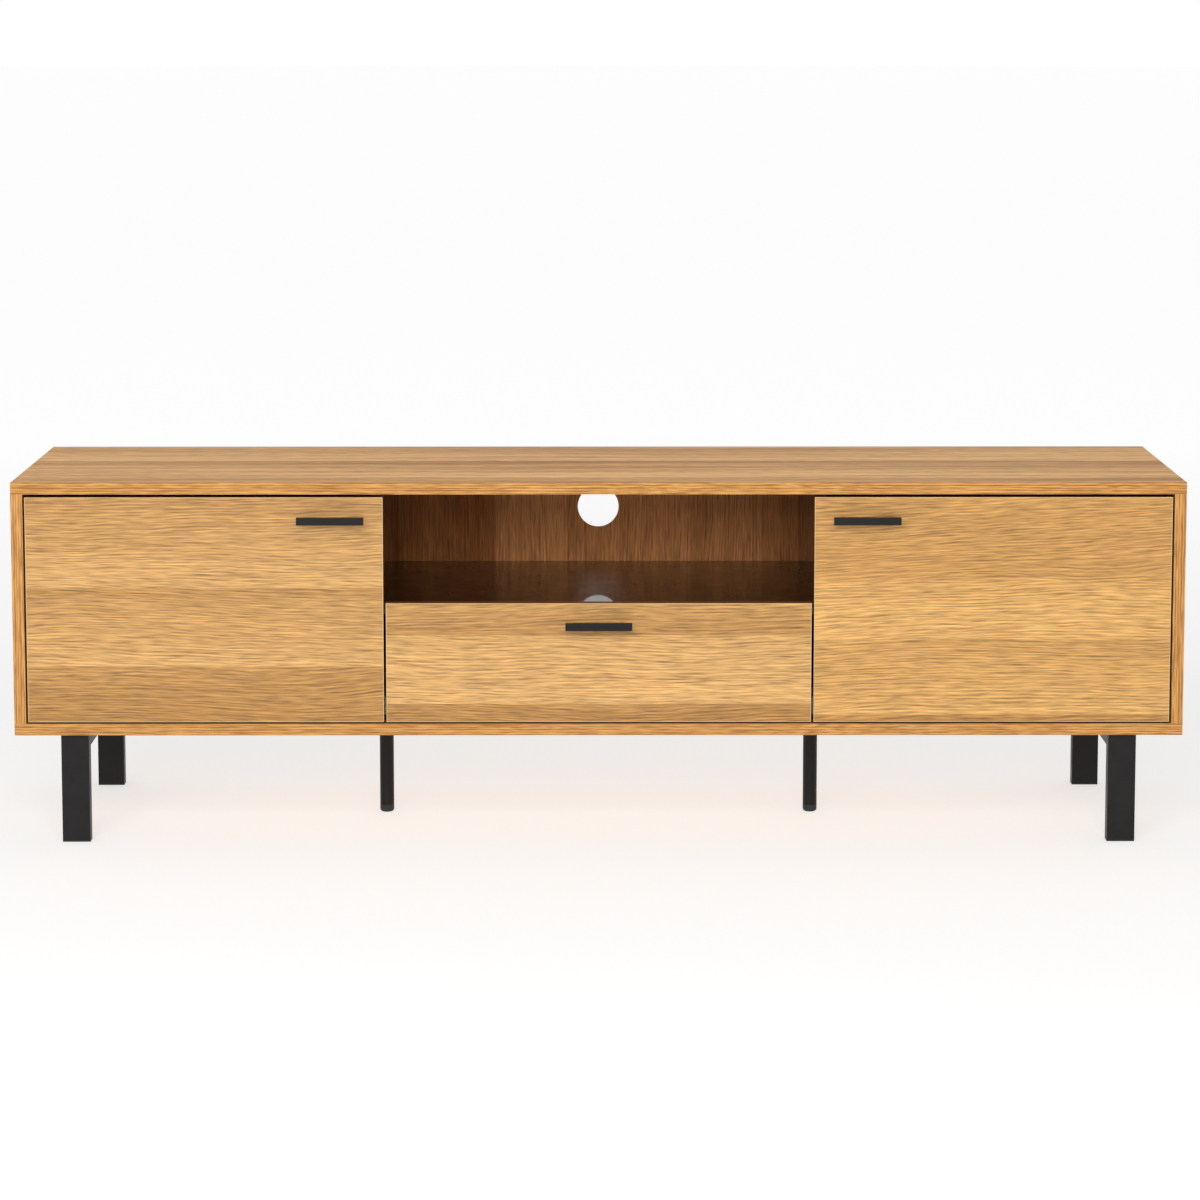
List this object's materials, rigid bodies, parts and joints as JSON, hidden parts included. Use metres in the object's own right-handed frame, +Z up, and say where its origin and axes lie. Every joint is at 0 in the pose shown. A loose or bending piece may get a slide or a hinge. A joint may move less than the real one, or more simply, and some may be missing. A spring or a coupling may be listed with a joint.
{
  "type": "tv stand with doors",
  "caption": "Low wide TV stand in light oak finish: hinged cupboard doors at the ends, an open bay with a cable hole over a drawer in the middle, on black metal legs.",
  "frame": {"origin": "centre of the whole object's bounding box, handles included, at floor level", "axes": "+X along the width towards the right end seen from the front, +Y from the doors to the back, +Z up"},
  "size_m": [1.6, 0.425, 0.5],
  "materials": {
    "oak": "light golden oak decor foil with plank pattern, satin",
    "dark_wood": "very dark brown gloss decor foil",
    "black_metal": "fine matt black powder coat",
    "plated_steel": "nickel-plated, satin",
    "runner_paint": "white epoxy coat",
    "white_plastic": "moulded, matt",
    "black_plastic": "moulded, matt",
    "drawer_liner": "pale oak foil, matt",
    "beech": "bare fluted beech"
  },
  "bodies": {
    "carcass": {"top_panel": "oak", "bottom_panel": "oak", "left_side_panel": "oak", "right_side_panel": "oak", "left_partition": "dark_wood", "right_partition": "dark_wood", "centre_shelf": "dark_wood", "left_shelf": "oak", "right_shelf": "oak", "shelf_pins": "plated_steel", "left_back_panel": "oak", "centre_back_panel": "oak", "right_back_panel": "oak", "cam_bolts": "plated_steel", "cam_locks": "plated_steel", "dowels": "beech", "hinge_plates": "plated_steel", "hinge_arms": "plated_steel", "hardware_screws": "plated_steel", "left_front_leg": "black_metal", "left_rear_leg": "black_metal", "left_leg_rail": "black_metal", "right_front_leg": "black_metal", "right_rear_leg": "black_metal", "right_leg_rail": "black_metal", "leg_feet": "black_plastic", "leg_frame_screws": "plated_steel", "middle_legs": "black_metal", "middle_leg_bolts": "plated_steel", "cabinet_runners": "runner_paint", "cabinet_roller_pins": "plated_steel", "door_bumpers": "white_plastic"},
    "left_door": {"left_door_panel": "oak", "left_door_handle": "black_metal", "left_handle_screws": "plated_steel", "left_hinge_cups": "plated_steel", "left_hinge_pins": "plated_steel", "left_cup_screws": "plated_steel"},
    "right_door": {"right_door_panel": "oak", "right_door_handle": "black_metal", "right_handle_screws": "plated_steel", "right_hinge_cups": "plated_steel", "right_hinge_pins": "plated_steel", "right_cup_screws": "plated_steel"},
    "drawer": {"drawer_front": "oak", "drawer_left_side": "drawer_liner", "drawer_right_side": "drawer_liner", "drawer_back": "drawer_liner", "drawer_bottom": "drawer_liner", "drawer_handle": "black_metal", "drawer_handle_screws": "plated_steel", "drawer_screws": "plated_steel", "drawer_cam_fittings": "plated_steel", "drawer_runners": "runner_paint", "drawer_roller_pins": "plated_steel"},
    "left_front_roller": {"left_cabinet_roller": "white_plastic"},
    "right_front_roller": {"right_cabinet_roller": "white_plastic"},
    "left_rear_roller": {"left_drawer_roller": "white_plastic"},
    "right_rear_roller": {"right_drawer_roller": "white_plastic"}
  },
  "joints": [
    {"name": "left_door_hinge", "type": "hinge", "parent": "carcass", "child": "left_door", "pos_m": [-0.762, -0.179, 0.325], "axis": [0, 0, -1], "range_deg": [0, 95]},
    {"name": "right_door_hinge", "type": "hinge", "parent": "carcass", "child": "right_door", "pos_m": [0.762, -0.179, 0.325], "axis": [0, 0, 1], "range_deg": [0, 95]},
    {"name": "drawer_slide", "type": "slide", "parent": "carcass", "child": "drawer", "axis": [0, -1, 0], "range_m": [0, 0.265]},
    {"name": "left_front_roller_spin", "type": "hinge", "parent": "carcass", "child": "left_front_roller", "pos_m": [-0.2884, -0.1535, 0.1865], "axis": [1, 0, 0], "continuous": true},
    {"name": "left_rear_roller_spin", "type": "hinge", "parent": "drawer", "child": "left_rear_roller", "pos_m": [-0.2882, 0.1645, 0.1865], "axis": [1, 0, 0], "continuous": true},
    {"name": "right_front_roller_spin", "type": "hinge", "parent": "carcass", "child": "right_front_roller", "pos_m": [0.2884, -0.1535, 0.1865], "axis": [1, 0, 0], "continuous": true},
    {"name": "right_rear_roller_spin", "type": "hinge", "parent": "drawer", "child": "right_rear_roller", "pos_m": [0.2882, 0.1645, 0.1865], "axis": [1, 0, 0], "continuous": true}
  ],
  "couplings": [
    {"joint": "left_front_roller_spin", "follows": "drawer_slide", "rad_per_m": 111.11},
    {"joint": "left_rear_roller_spin", "follows": "drawer_slide", "rad_per_m": 111.11},
    {"joint": "right_front_roller_spin", "follows": "drawer_slide", "rad_per_m": 111.11},
    {"joint": "right_rear_roller_spin", "follows": "drawer_slide", "rad_per_m": 111.11}
  ]
}
